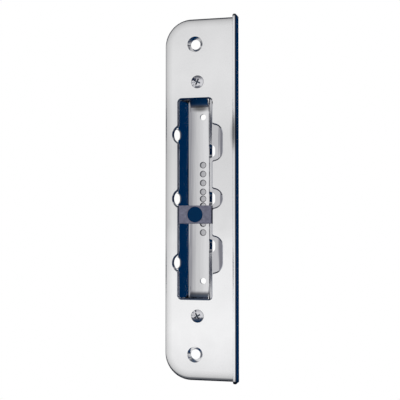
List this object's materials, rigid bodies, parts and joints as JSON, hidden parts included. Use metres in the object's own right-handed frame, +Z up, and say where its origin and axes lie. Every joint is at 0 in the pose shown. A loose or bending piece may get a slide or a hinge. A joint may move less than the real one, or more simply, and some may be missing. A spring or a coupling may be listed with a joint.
{
  "type": "door strike plate",
  "caption": "Tall strike plate of polished steel with a forward lip and a shallow folded box behind its window, holding a magnet block.",
  "frame": {"origin": "on the face plate's back face, midway between the two fixing holes", "axes": "+Z up the plate, +X across it towards the lip, -Y out of the door frame towards the viewer of the front"},
  "size_m": [0.0525, 0.0206, 0.25],
  "materials": {
    "plate_steel": "polished",
    "box_steel": "smooth rolled",
    "screw_steel": "satin",
    "holder_plastic": "moulded",
    "magnet_nickel": "nickel plated"
  },
  "bodies": {
    "root": {"face_plate": "plate_steel", "strike_box": "box_steel", "box_screw_upper": "screw_steel", "box_screw_lower": "screw_steel", "magnet_holder": "holder_plastic", "magnet": "magnet_nickel"}
  },
  "joints": []
}
